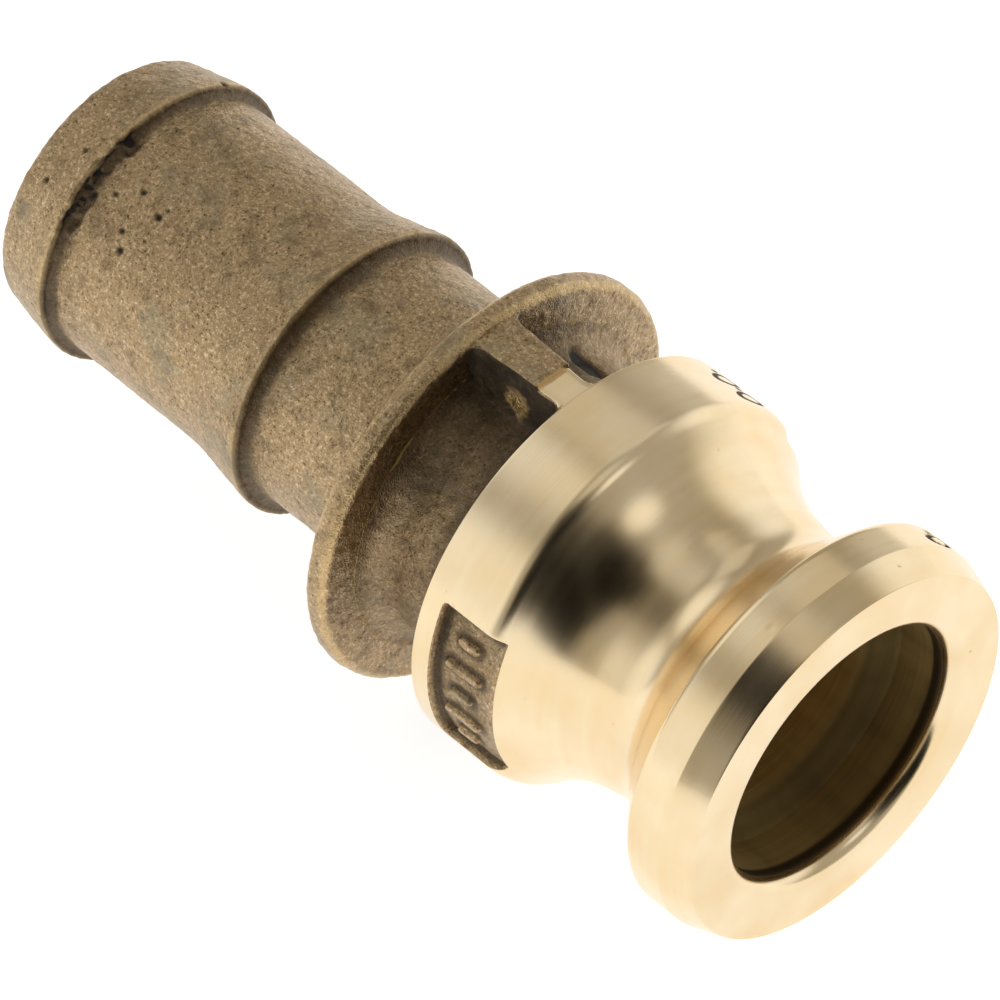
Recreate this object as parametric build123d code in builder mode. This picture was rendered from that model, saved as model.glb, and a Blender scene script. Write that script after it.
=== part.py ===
"""Camlock adapter, 1 1/4 inch (DN 32): a male cam-and-groove head with a barbed hose shank.

The coupling is one brass casting. It is built here as its working zones, which meet face to
face: the turned head, the neck with its two webs, the collar and the hose shank.

Frame: millimetres. The axis lies along X, the sealing face is the plane X = 0 and faces +X,
and the origin is the centre of that face. The shank runs towards -X, and +Z is up.
"""
import os
from math import atan2, cos, degrees, radians, tan

from build123d import *

# Passage
bore_radius = 12.75
bore_end_break = 0.4
mouth_step = 2.35
mouth_blend = 1.6

# Nose
nose_radius = 22.7
nose_length = 7.2
taper_length = 3.5
taper_depth = 1.2

# Cam groove: two slopes that run down to a gently rising floor
land_blend = 1.0
land_margin = 0.1
front_slope_angle = 47.0
groove_wall = 3.35
groove_front_blend = 5.5
groove_floor_length = 9.8
groove_floor_rise = 1.7
groove_rear_blend = 15.5
rear_slope_angle = 43.0
blend_share = 0.95

# Barrel
barrel_radius = 22.7
barrel_length = 9.3
shoulder_run = 1.6

# Cast pads sunk in the barrel's two sides, each with a row of raised marks
pad_lead = 0.8
pad_margin = 2.4
pad_depth = 1.2
pad_half_angle = 26.5
mark_height = 0.6
mark_thickness = 1.2
mark_spacing_angle = 9.0
mark_length_shares = (0.4, 0.65, 0.4, 0.65, 0.4)

# Neck and webs
neck_wall = 3.75
neck_length = 11.6
neck_front_blend = 1.5
neck_rear_blend = 3.0
web_thickness = 4.8
web_rise = 0.6
web_step_length = 3.3

# Collar that stops the hose
collar_radius = 23.95
collar_thickness = 2.8
collar_edge_blend = 1.0

# Hose shank
shank_neck_wall = 2.45
shank_neck_length = 15.3
shank_neck_blend = 1.5
shank_wall = 2.75
shank_length = 16.3
crest_blend = 0.4
crest_land = 0.8
step_lead = 2.3
front_barb_height = 1.5
front_step_blend = 1.3
front_ramp_length = 7.4
ramp_foot_length = 2.7
ramp_foot_blend = 20.0
rear_barb_height = 1.3
rear_step_blend = 0.8
rear_ramp_length = 7.3
end_wall = 2.55
end_blend = 1.0

# Radii worked out from the sizes above
mouth_radius = bore_radius + mouth_step
face_radius = nose_radius - taper_depth
groove_front_radius = bore_radius + groove_wall
groove_rear_radius = groove_front_radius + groove_floor_rise
shoulder_radius = barrel_radius - shoulder_run * tan(radians(rear_slope_angle))
pad_floor = barrel_radius - pad_depth
neck_radius = bore_radius + neck_wall
shank_neck_radius = bore_radius + shank_neck_wall
shank_radius = bore_radius + shank_wall
front_crest_radius = shank_radius + front_barb_height
rear_crest_radius = shank_radius + rear_barb_height
end_radius = bore_radius + end_wall

# Distances behind the sealing face, worked out from the sizes above
groove_start = nose_length + land_blend * tan(radians(front_slope_angle / 2)) + land_margin
groove_front_foot = groove_start + (nose_radius - groove_front_radius) / tan(radians(front_slope_angle))
groove_rear_foot = groove_front_foot + groove_floor_length
groove_end = groove_rear_foot + (barrel_radius - groove_rear_radius) / tan(radians(rear_slope_angle))
shoulder = groove_end - shoulder_run
seat_back = nose_length + mouth_radius - bore_radius
barrel_back = groove_end + barrel_length
pad_front = groove_end - pad_lead
pad_back = barrel_back - pad_margin
collar_front = barrel_back + neck_length
collar_back = collar_front + collar_thickness
front_barb_start = collar_back + shank_neck_length
front_crest = front_barb_start + step_lead
front_ramp_end = front_crest + crest_land + front_ramp_length
shank_start = front_ramp_end + ramp_foot_length
rear_barb_start = shank_start + shank_length
rear_crest = rear_barb_start + step_lead
overall_length = rear_crest + crest_land + rear_ramp_length

# The floor's rear blend takes at most its share of the slope that it runs into
floor_angle = atan2(groove_floor_rise, groove_floor_length)
rear_slope_room = (shoulder - groove_rear_foot) / cos(radians(rear_slope_angle))
widest_rear_blend = blend_share * rear_slope_room / tan((radians(rear_slope_angle) - floor_angle) / 2)

# Turning plane: local x runs back from the sealing face, local y is the radius
turning = Plane(origin=(0, 0, 0), x_dir=(-1, 0, 0), z_dir=(0, 1, 0))


def outline(*corners):
    """Closed outline through (distance, radius) corners, each with an optional blend radius."""
    points = [corner[:2] for corner in corners]
    blends = [corner[2] if len(corner) > 2 else 0 for corner in corners]
    return FilletPolyline(*points, radius=blends, close=True)


def sector(inner, outer, middle_angle, half_angle):
    """Ring sector about the axis, on a plane across it."""
    inside = CenterArc((0, 0), inner, middle_angle - half_angle, 2 * half_angle)
    outside = CenterArc((0, 0), outer, middle_angle - half_angle, 2 * half_angle)
    Line(inside @ 0, outside @ 0)
    Line(inside @ 1, outside @ 1)


def save(piece, name):
    """Label a finished piece and write it under that name."""
    piece.label = name
    export_step(piece, f"parts/{name}.step")


os.makedirs("parts", exist_ok=True)

# Nose: flat sealing face, tapered lead, parallel land and a rounded mouth
with BuildPart() as sealing_nose:
    with BuildSketch(turning):
        with BuildLine():
            outline(
                (0, mouth_radius, mouth_blend),
                (0, face_radius),
                (taper_length, nose_radius),
                (nose_length, nose_radius),
                (nose_length, mouth_radius),
            )
        make_face()
    revolve(axis=Axis.X)
save(sealing_nose.part, "sealing_nose")

# Groove that the coupler's cams press into, with a cone inside that narrows the passage
with BuildPart() as cam_groove:
    with BuildSketch(turning):
        with BuildLine():
            outline(
                (nose_length, nose_radius),
                (groove_start, nose_radius, land_blend),
                (groove_front_foot, groove_front_radius, groove_front_blend),
                (groove_rear_foot, groove_rear_radius, min(groove_rear_blend, widest_rear_blend)),
                (shoulder, shoulder_radius),
                (shoulder, bore_radius),
                (seat_back, bore_radius),
                (nose_length, mouth_radius),
            )
        make_face()
    revolve(axis=Axis.X)
save(cam_groove.part, "cam_groove")

# Barrel that steadies the head in the coupler, with a sunken pad on each side
with BuildPart() as barrel:
    with BuildSketch(turning):
        with BuildLine():
            outline(
                (shoulder, shoulder_radius),
                (groove_end, barrel_radius, land_blend),
                (barrel_back, barrel_radius),
                (barrel_back, bore_radius),
                (shoulder, bore_radius),
            )
        make_face()
    revolve(axis=Axis.X)
    for side_angle in (0, 180):
        with BuildSketch(Plane.YZ.offset(-pad_back)):
            with BuildLine():
                sector(pad_floor, barrel_radius + pad_depth, side_angle, pad_half_angle)
            make_face()
        extrude(amount=pad_back - pad_front, mode=Mode.SUBTRACT)
save(barrel.part, "barrel")

# Raised marks on each pad floor: short bars along the axis, fanned round it
mark_half_angle = degrees(mark_thickness / 2 / pad_floor)
pad_middle = (pad_front + pad_back) / 2
for name, side_angle in (("right_pad_marks", 0), ("left_pad_marks", 180)):
    with BuildPart() as pad_marks:
        for index, share in enumerate(mark_length_shares):
            mark_length = share * (pad_back - pad_front)
            mark_angle = side_angle + (index - len(mark_length_shares) // 2) * mark_spacing_angle
            with BuildSketch(Plane.YZ.offset(-pad_middle - mark_length / 2)):
                with BuildLine():
                    sector(pad_floor, pad_floor + mark_height, mark_angle, mark_half_angle)
                make_face()
            extrude(amount=mark_length)
    save(pad_marks.part, name)

# Neck between the barrel and the collar, flared at both ends
neck_outer_corners = (
    (barrel_back, neck_radius + neck_front_blend),
    (barrel_back + neck_front_blend, neck_radius, neck_front_blend),
    (collar_front - neck_rear_blend, neck_radius, neck_rear_blend),
    (collar_front, neck_radius + neck_rear_blend),
)
with BuildPart() as neck:
    with BuildSketch(turning):
        with BuildLine():
            outline(*neck_outer_corners, (collar_front, bore_radius), (barrel_back, bore_radius))
        make_face()
    revolve(axis=Axis.X)
save(neck.part, "neck")

# Webs on the neck: the front of each is turned down with the barrel
for name, side in (("top_web", 1), ("bottom_web", -1)):
    with BuildPart() as web:
        with BuildSketch(Plane.XY):
            with Locations((-(barrel_back + collar_front) / 2, 0)):
                Rectangle(neck_length, web_thickness)
        extrude(amount=side * collar_radius)
        with BuildSketch(turning):
            with BuildLine():
                outline(
                    *neck_outer_corners,
                    (collar_front, barrel_radius + web_rise),
                    (barrel_back + web_step_length, barrel_radius + web_rise),
                    (barrel_back + web_step_length, barrel_radius),
                    (barrel_back, barrel_radius),
                )
            make_face()
        revolve(axis=Axis.X, mode=Mode.INTERSECT)
    save(web.part, name)

# Collar
with BuildPart() as collar:
    with BuildSketch(turning):
        with BuildLine():
            outline(
                (collar_front, bore_radius),
                (collar_front, collar_radius, collar_edge_blend),
                (collar_back, collar_radius, collar_edge_blend),
                (collar_back, bore_radius),
            )
        make_face()
    revolve(axis=Axis.X)
save(collar.part, "collar")

# Shank neck, where the hose end butts against the collar
with BuildPart() as shank_neck:
    with BuildSketch(turning):
        with BuildLine():
            outline(
                (collar_back, shank_neck_radius + shank_neck_blend),
                (collar_back + shank_neck_blend, shank_neck_radius, shank_neck_blend),
                (front_barb_start, shank_neck_radius),
                (front_barb_start, bore_radius),
                (collar_back, bore_radius),
            )
        make_face()
    revolve(axis=Axis.X)
save(shank_neck.part, "shank_neck")

# Front barb: a square step towards the collar and a long ramp towards the hose
with BuildPart() as front_barb:
    with BuildSketch(turning):
        with BuildLine():
            outline(
                (front_barb_start, shank_neck_radius),
                (front_crest, shank_neck_radius, front_step_blend),
                (front_crest, front_crest_radius, crest_blend),
                (front_crest + crest_land, front_crest_radius),
                (front_ramp_end, shank_radius, ramp_foot_blend),
                (shank_start, shank_radius),
                (shank_start, bore_radius),
                (front_barb_start, bore_radius),
            )
        make_face()
    revolve(axis=Axis.X)
save(front_barb.part, "front_barb")

# Plain shank that the hose clamp closes on
with BuildPart() as shank:
    with BuildSketch(turning):
        with BuildLine():
            outline(
                (shank_start, shank_radius),
                (rear_barb_start, shank_radius),
                (rear_barb_start, bore_radius),
                (shank_start, bore_radius),
            )
        make_face()
    revolve(axis=Axis.X)
save(shank.part, "shank")

# Rear barb and the open end that goes into the hose first
with BuildPart() as rear_barb:
    with BuildSketch(turning):
        with BuildLine():
            outline(
                (rear_barb_start, shank_radius),
                (rear_crest, shank_radius, rear_step_blend),
                (rear_crest, rear_crest_radius, crest_blend),
                (rear_crest + crest_land, rear_crest_radius),
                (overall_length, end_radius, end_blend),
                (overall_length, bore_radius, bore_end_break),
                (rear_barb_start, bore_radius),
            )
        make_face()
    revolve(axis=Axis.X)
save(rear_barb.part, "rear_barb")
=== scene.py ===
"""Camlock coupling: a turned brass head and a sand-cast hose shank, in the frame of the packed part.

Lengths inside the shape functions are millimetres. A place on the coupling is given as
(behind, around): the distance behind the sealing face and the angle about the axis, which
starts at the top and goes towards +Y.
"""
from types import SimpleNamespace

import bpy
import numpy as np
from bpy.props import FloatProperty, FloatVectorProperty, IntProperty, PointerProperty
from mathutils import Matrix, Vector


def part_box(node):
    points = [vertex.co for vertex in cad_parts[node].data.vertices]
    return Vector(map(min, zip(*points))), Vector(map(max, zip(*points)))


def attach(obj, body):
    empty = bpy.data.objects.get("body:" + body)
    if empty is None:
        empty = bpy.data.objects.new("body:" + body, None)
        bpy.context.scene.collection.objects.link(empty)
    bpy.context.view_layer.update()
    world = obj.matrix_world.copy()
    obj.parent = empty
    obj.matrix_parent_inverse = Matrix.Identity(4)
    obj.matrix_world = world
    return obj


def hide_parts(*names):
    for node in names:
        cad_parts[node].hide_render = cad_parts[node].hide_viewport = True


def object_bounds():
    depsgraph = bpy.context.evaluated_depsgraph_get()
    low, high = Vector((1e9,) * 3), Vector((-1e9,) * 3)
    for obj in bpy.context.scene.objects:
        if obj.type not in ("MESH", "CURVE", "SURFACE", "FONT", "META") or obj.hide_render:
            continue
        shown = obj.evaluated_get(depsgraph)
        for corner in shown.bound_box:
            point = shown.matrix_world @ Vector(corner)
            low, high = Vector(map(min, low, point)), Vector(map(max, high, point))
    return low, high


bl_info = {
    "name": "Camlock coupling",
    "version": (1, 0, 0),
    "blender": (4, 5, 0),
    "location": "3D View > Sidebar > Coupling",
    "description": "Turned head, cast neck and collar, and barbed hose shank of a camlock adapter",
    "category": "Add Mesh",
}

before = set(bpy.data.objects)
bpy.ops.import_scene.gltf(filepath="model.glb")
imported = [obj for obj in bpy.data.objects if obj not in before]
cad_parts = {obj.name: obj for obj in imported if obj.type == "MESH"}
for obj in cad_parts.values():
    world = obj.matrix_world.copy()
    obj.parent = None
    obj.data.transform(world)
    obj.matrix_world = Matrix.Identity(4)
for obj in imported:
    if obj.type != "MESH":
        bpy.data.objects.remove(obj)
cad_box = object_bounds()
MM = 1000.0


def back_of(node):
    """Distance behind the sealing face, in metres, at which a CAD node ends."""
    return -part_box(node)[0][0]


def front_of(node):
    """Distance behind the sealing face, in metres, at which a CAD node starts."""
    return -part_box(node)[1][0]


def radius_of(node):
    """Largest distance of a CAD node from the axis, in metres."""
    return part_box(node)[1][2]


def metres(name, description, default):
    """A length in metres that the user can change."""
    return FloatProperty(
        name=name, description=description, default=default, min=0.0, unit="LENGTH", precision=5
    )


def rgb(name, description, default):
    """A colour that the user can change."""
    return FloatVectorProperty(
        name=name, description=description, default=default, size=3, min=0.0, max=1.0, subtype="COLOR"
    )


def degrees(name, description, default):
    """An angle that the user can change, given here in degrees."""
    return FloatProperty(
        name=name, description=description, default=float(np.radians(default)), subtype="ANGLE"
    )


class CouplingPassage(bpy.types.PropertyGroup):
    """Sizes of the passage through the coupling."""

    bore: metres("Bore radius", "Radius of the passage", 0.01275)
    mouth: metres("Mouth radius", "Radius of the wider mouth behind the sealing face", 0.0151)
    mouth_round: metres("Mouth rounding", "Rounding from the sealing face into the mouth", 0.0016)


class CouplingHead(bpy.types.PropertyGroup):
    """Sizes of the turned head."""

    nose_back: metres("Nose end", "Where the parallel land of the nose ends", back_of("sealing_nose"))
    nose: metres("Nose radius", "Radius of the parallel land", radius_of("sealing_nose"))
    face: metres("Face radius", "Radius of the flat sealing face", 0.0215)
    taper: metres("Lead taper", "Length of the taper on the nose", 0.0035)
    groove_start: metres("Groove start", "Where the front slope of the groove starts", 0.007735)
    front_foot: metres("Front foot", "Where the front slope meets the groove floor", 0.01389)
    rear_foot: metres("Rear foot", "Where the groove floor meets the rear slope", 0.02369)
    floor_front: metres("Floor radius, front", "Groove floor radius at its front", 0.0161)
    floor_rear: metres("Floor radius, rear", "Groove floor radius at its rear", 0.0178)
    front_blend: metres("Front blend", "Rounding at the front foot", 0.0055)
    rear_blend: metres("Rear blend", "Rounding at the rear foot", 0.0155)
    shoulder: metres("Shoulder", "Where the barrel takes over from the groove", back_of("cam_groove"))
    shoulder_radius: metres("Shoulder radius", "Radius at the shoulder", 0.021208)
    groove_end: metres("Groove end", "Where the rear slope reaches the barrel", 0.028944)
    barrel: metres("Barrel radius", "Radius of the barrel", radius_of("barrel"))
    barrel_back: metres("Barrel back", "Where the barrel ends", back_of("barrel"))
    pad_back: metres("Pad back", "Where the sunken pads end", 0.035844)
    pad_floor: metres("Pad floor radius", "Radius of the floor of the sunken pads", 0.0215)
    pad_half_angle: degrees("Pad half angle", "Half of the angle that a pad takes up", 26.5)
    pad_wall: metres("Pad wall run", "How far the pad's wall leans out", 0.00034)
    pad_corner: metres("Pad corner", "Rounding of the pad's corners", 0.0006)
    mark_height: metres("Mark height", "Height of the raised bars on the pad floor", 0.0006)
    mark_width: metres("Mark width", "Width of the raised bars", 0.0012)
    mark_angle: degrees("Mark spacing", "Angle from one raised bar to the next", 9.0)
    stamp_depth: metres("Stamp depth", "Depth of the plain marks stamped in the head", 0.00024)


class CouplingNeck(bpy.types.PropertyGroup):
    """Sizes of the neck, its webs and the collar."""

    neck: metres("Neck radius", "Radius of the neck", 0.0165)
    front_blend: metres("Front blend", "Rounding from the neck to the barrel", 0.0015)
    rear_blend: metres("Rear blend", "Rounding from the neck to the collar", 0.003)
    web_front: metres("Web thickness, front", "Thickness of a web next to the barrel", 0.0042)
    web_rear: metres("Web thickness, rear", "Thickness of a web next to the collar", 0.0052)
    web_foot: metres("Web foot blend", "Rounding at the foot of a web", 0.0011)
    web_flare: metres("Web flare", "Rounding of a web into its neighbours", 0.0013)
    web_edge: metres("Web edge", "Rounding of the top edges of a web", 0.0004)
    web_top: metres("Web top radius", "As-cast top of a web", 0.0233)
    web_step: metres("Web step", "Length of the turned front of a web's top", 0.0033)
    collar: metres("Collar radius", "Radius of the collar", radius_of("collar"))
    collar_front: metres("Collar front", "Where the collar starts", front_of("collar"))
    collar_back: metres("Collar back", "Where the collar ends", back_of("collar"))
    collar_edge: metres("Collar edge", "Rounding of the collar's rim", 0.001)


class CouplingShank(bpy.types.PropertyGroup):
    """Sizes of the hose shank."""

    neck: metres("Shank neck radius", "Radius next to the collar", 0.0152)
    neck_blend: metres("Shank neck blend", "Rounding from the collar to the shank neck", 0.0015)
    neck_back: metres("Shank neck end", "Where the front barb starts", back_of("shank_neck"))
    shank: metres("Shank radius", "Radius of the plain shank", radius_of("shank"))
    step: metres("Step lead", "Distance from the start of a barb to its step", 0.0023)
    land: metres("Crest land", "Flat crest of a barb", 0.0008)
    front_crest: metres("Front crest radius", "Radius of the front barb", radius_of("front_barb"))
    front_ramp: metres("Front ramp", "Length of the front barb's ramp", 0.0074)
    shank_start: metres("Shank start", "Where the plain shank starts", back_of("front_barb"))
    rear_start: metres("Rear barb start", "Where the rear barb starts", back_of("shank"))
    rear_crest: metres("Rear crest radius", "Radius of the rear barb", radius_of("rear_barb"))
    end: metres("Shank end", "Where the shank ends", back_of("rear_barb"))
    end_radius: metres("End radius", "Radius at the open end", 0.0153)


class CouplingFinish(bpy.types.PropertyGroup):
    """Colours and roughness of the finishes, and the relief of the cast skin."""

    turned: rgb("Turned brass", "Colour of the machined brass", (0.83, 0.64, 0.37))
    turned_pale: rgb("Turned brass, pale", "Paler bands of the machined brass", (0.90, 0.74, 0.50))
    turned_rough: FloatProperty(
        name="Turned roughness", description="Roughness of the machined brass", default=0.21, min=0, max=1,
        subtype="FACTOR",
    )
    skin: rgb("Cast skin", "Colour of the sand-cast skin", (0.43, 0.30, 0.16))
    skin_pale: rgb("Cast skin, pale", "Rubbed high spots of the cast skin", (0.80, 0.62, 0.40))
    # Also the colour that painted shade in recesses, pockets and corners blends towards
    skin_dark: rgb("Cast skin, dark", "Hollows of the cast skin", (0.065, 0.042, 0.020))
    bare: rgb("Bare spots", "Bright metal where a tool touched the cast skin", (0.95, 0.68, 0.32))
    # The darkest colour: painted shade on the pocket walls beside the webs and in the hollow there, also used
    # in the deeper pits of the shank
    soot_and_shade: rgb("Soot", "Dirt left in pits and crevices", (0.018, 0.014, 0.010))
    patina: rgb("Patina", "Grey-green stains on the cast skin", (0.27, 0.25, 0.17))
    bore: rgb("Bore", "Colour of the rough-bored passage", (0.66, 0.46, 0.17))
    skin_rough: FloatProperty(
        name="Skin roughness", description="Roughness of the cast skin", default=0.37, min=0, max=1,
        subtype="FACTOR",
    )
    relief: metres("Cast relief", "Height of the cast skin's waves and grain", 0.000068)
    seed: IntProperty(name="Seed", description="Seed of the grain, pits and stains", default=7, min=0)


class CouplingStudio(bpy.types.PropertyGroup):
    """Camera, light and floor."""

    azimuth: degrees("Azimuth", "Direction of the camera about the vertical, from +X", -43.93)
    elevation: degrees("Elevation", "Height of the camera above the horizon", 48.80)
    distance: metres("Distance", "Camera distance from the middle of the coupling", 0.81034)
    aim_right: metres("Aim right", "How far the camera is moved to its right", 0.00336)
    aim_down: metres("Aim down", "How far the camera is moved down", 0.00382)
    lens: FloatProperty(name="Lens", description="Focal length in millimetres", default=288.0, min=1.0)
    floor: rgb("Floor", "Colour of the floor", (0.62, 0.62, 0.62))
    sky: rgb("Surroundings", "Colour of the light from the bright sides", (1.0, 1.0, 0.99))
    sky_dim: rgb("Dim surroundings", "Colour of the light from the dim sides", (1.0, 0.93, 0.80))
    table_light: FloatProperty(
        name="Table light", description="Light that the floor gives of itself", default=0.85, min=0
    )
    softbox: FloatProperty(
        name="Softbox power", description="Power of the softbox in watts", default=0.25, min=0
    )
    sky_strength: FloatProperty(
        name="Surroundings strength", description="Light from all round", default=0.43, min=0
    )


# Shapes


def rounded(corners, step=0.25, arc_step=0.12):
    """Outline through (behind, radius, blend) corners: straight runs joined by circular arcs that touch both
    runs, with points about one step apart."""
    corners = [(c[0], c[1], c[2] if len(c) > 2 else 0.0) for c in corners]
    spots = np.array([c[:2] for c in corners], float)
    parts, last = [], spots[0]
    for here, blend, before, after in zip(
        spots[1:], [c[2] for c in corners[1:]], spots[:-1], [*spots[2:], None]
    ):
        arc = here[None]
        if blend > 0 and after is not None:
            inward, outward = before - here, after - here
            inward /= np.linalg.norm(inward)
            outward /= np.linalg.norm(outward)
            half = np.arccos(np.clip(inward @ outward, -1, 1)) / 2
            middle = inward + outward
            centre = here + middle / np.linalg.norm(middle) * blend / np.sin(half)
            start, end = (here + side * blend / np.tan(half) - centre for side in (inward, outward))
            turn = np.arctan2(start[0] * end[1] - start[1] * end[0], start @ end)
            angle = np.linspace(0, turn, max(4, int(abs(turn) * blend / arc_step) + 2))[:, None]
            arc = centre + np.cos(angle) * start + np.sin(angle) * np.array([-start[1], start[0]])
        run = arc[0] - last
        count = max(1, int(round(np.linalg.norm(run) / step)))
        parts.append(last + run * (np.arange(count) / count)[:, None])
        parts.append(arc[:-1])
        last = arc[-1]
    return np.concatenate([*parts, last[None]])


def nearest(outline, behind, radius):
    """Index of the outline's point nearest to a place."""
    return int(np.argmin(np.hypot(outline[:, 0] - behind, outline[:, 1] - radius)))


def lines(*spans):
    """Grid lines, in degrees, over spans that follow each other: (start, end, step)."""
    return np.concatenate([np.linspace(a, b, int(round((b - a) / s)) + 1)[:-1] for a, b, s in spans])


def swept(outline, angles):
    """The outline turned about the axis: x = -behind, y = radius sin(around), z = radius cos(around)."""
    around = np.radians(angles)[None]
    behind, radius = outline[:, :1], outline[:, 1:]
    return np.stack((-behind + 0 * around, radius * np.sin(around), radius * np.cos(around)), -1)


def facing(points):
    """Unit normals of a grid that closes round its columns: the cross product of the steps to the next point
    along each direction, turned away from the metal."""
    along = np.gradient(points, axis=0)
    across = np.roll(points, -1, 1) - np.roll(points, 1, 1)
    normal = np.cross(across, along)
    normal /= np.maximum(np.linalg.norm(normal, axis=-1, keepdims=True), 1e-12)
    return normal


def grain(points, size, seed):
    """Smooth random heights from -1 to 1: a random value at each corner of a lattice of this cell size, mixed
    inside a cell by the S-curve 3t^2 - 2t^3."""
    cells = points / size
    base = np.floor(cells)
    part = cells - base
    part = part * part * (3 - 2 * part)
    base = base.astype(np.int64)
    total = 0
    for corner in np.ndindex(2, 2, 2):
        key = (base + corner) * np.array([73856093, 19349663, 83492791])
        code = (key[..., 0] ^ key[..., 1] ^ key[..., 2] ^ (seed * 2654435761)) & 0xFFFFFFFF
        code = ((code ^ (code >> 13)) * 1274126177) & 0xFFFFFFFF
        code = ((code ^ (code >> 16)) * 2246822519) & 0xFFFFFFFF
        value = ((code >> 8) & 0xFFFF) / 32767.5 - 1
        weight = np.where(np.array(corner) == 1, part, 1 - part).prod(-1)
        total = total + value * weight
    return total


def cast_relief(points, seed, height):
    """Sand-cast skin: four sizes of smooth random heights, from slow waves to sand grain, added together."""
    sizes = ((7.0, 1.0), (2.3, 0.8), (1.0, 0.75), (0.52, 0.62))
    return height * sum(share * grain(points, size, seed + i) for i, (size, share) in enumerate(sizes))


def smooth(low, high, value):
    """0 below low, 1 above high, and the S-curve 3t^2 - 2t^3 between."""
    t = np.clip((value - low) / (high - low), 0, 1)
    return t * t * (3 - 2 * t)


def bowl(points, spots, depth_share=0.45):
    """Round hollows at (behind, around, radius of the coupling there, hollow's radius): each is a smooth
    bell, 1 at its middle and 0 at its rim; returns the deepest one and its size at each point."""
    depth = np.zeros(points.shape[:-1])
    for behind, around, radius, size in spots:
        angle = np.radians(around)
        middle = np.array([-behind, radius * np.sin(angle), radius * np.cos(angle)])
        bell = 1 - smooth(0.1 * size, size, np.linalg.norm(points - middle, axis=-1))
        depth = np.maximum(depth, bell * size * depth_share)
    return depth


def capsule(a, b, start, end, half_width):
    """Signed distance to a bar with round ends, from start to end, in a flat plane (a, b)."""
    run = np.subtract(end, start)
    share = np.clip(((a - start[0]) * run[0] + (b - start[1]) * run[1]) / (run @ run), 0, 1)
    return np.hypot(a - start[0] - share * run[0], b - start[1] - share * run[1]) - half_width


def oval(a, b, middle, radius, half_width):
    """Signed distance to a plain oval band, twice as long along a, in a flat plane (a, b)."""
    return np.abs(np.hypot((a - middle[0]) / 2.1, b - middle[1]) - radius) - half_width


# Meshes


def add_piece(name, parts, hidden, finishes, nodes, choice, grime_and_shade=0.0, bare=0.0):
    """Makes one closed piece from grids stacked row on row: rows follow the outline of the section, columns
    go round the axis, and both close on themselves. Each row of faces after a row in hidden is a flat end
    inside the metal. choice numbers the finish of every face. The two marks on the points are how much
    darker the points are painted, which is painted shade in recesses and corners together with dirt in pits
    and stamped marks, and how much bright bare metal shows."""
    points = np.concatenate([part[0] for part in parts]) / MM
    normals = np.concatenate([part[1] for part in parts])
    rows, columns = points.shape[:2]
    index = np.arange(rows * columns).reshape(rows, columns)
    below = np.roll(index, -1, 0)
    faces = np.stack((index, below, np.roll(below, -1, 1), np.roll(index, -1, 1)), -1).reshape(-1, 4)
    flat = points.reshape(-1, 3)
    a, b, c, d = (flat[faces[:, i]] for i in range(4))
    volume = (np.cross(b, c) * a).sum() + (np.cross(c, d) * a).sum()
    if volume < 0:
        faces = faces[:, ::-1]
    mesh = bpy.data.meshes.new(name)
    mesh.vertices.add(len(flat))
    mesh.vertices.foreach_set("co", flat.astype(np.float32).ravel())
    mesh.loops.add(faces.size)
    mesh.loops.foreach_set("vertex_index", faces.astype(np.int32).ravel())
    mesh.polygons.add(len(faces))
    mesh.polygons.foreach_set("loop_start", np.arange(0, faces.size, 4, dtype=np.int32))
    mesh.polygons.foreach_set("use_smooth", np.ones(len(faces), bool))
    for finish in finishes:
        mesh.materials.append(finish_named(finish))
    choice = np.broadcast_to(choice, (rows, columns))
    mesh.polygons.foreach_set("material_index", choice.astype(np.int32).ravel())
    mesh.update(calc_edges=True)
    if mesh.validate():
        raise RuntimeError(f"{name}: the mesh had faults")
    corner = normals.reshape(-1, 3)[faces]
    ends = np.isin(np.repeat(np.arange(rows), columns), [row % rows for row in hidden])
    square = np.cross(flat[faces[:, 2]] - flat[faces[:, 0]], flat[faces[:, 3]] - flat[faces[:, 1]])
    square /= np.maximum(np.linalg.norm(square, axis=-1, keepdims=True), 1e-15)
    corner[ends] = square[ends][:, None]
    mesh.normals_split_custom_set(corner.reshape(-1, 3).tolist())
    for label, values in (("grime_and_shade", grime_and_shade), ("bare", bare)):
        data = mesh.attributes.new(label, "FLOAT", "POINT").data
        data.foreach_set("value", np.broadcast_to(values, (rows, columns)).astype(np.float32).ravel())
    piece = bpy.data.objects.new(name, mesh)
    bpy.context.scene.collection.objects.link(piece)
    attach(piece, "root")
    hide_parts(*nodes)


def turned_part(outline, angles):
    """A turned surface: the outline swept round the axis, with its normals."""
    points = swept(outline, angles)
    return points, facing(points)


def bore_rows(start, end, radius, count=8):
    """Outline of the passage between two places, from back to front."""
    return np.stack((np.linspace(end, start, count), np.full(count, radius)), 1)


# Finishes


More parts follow.
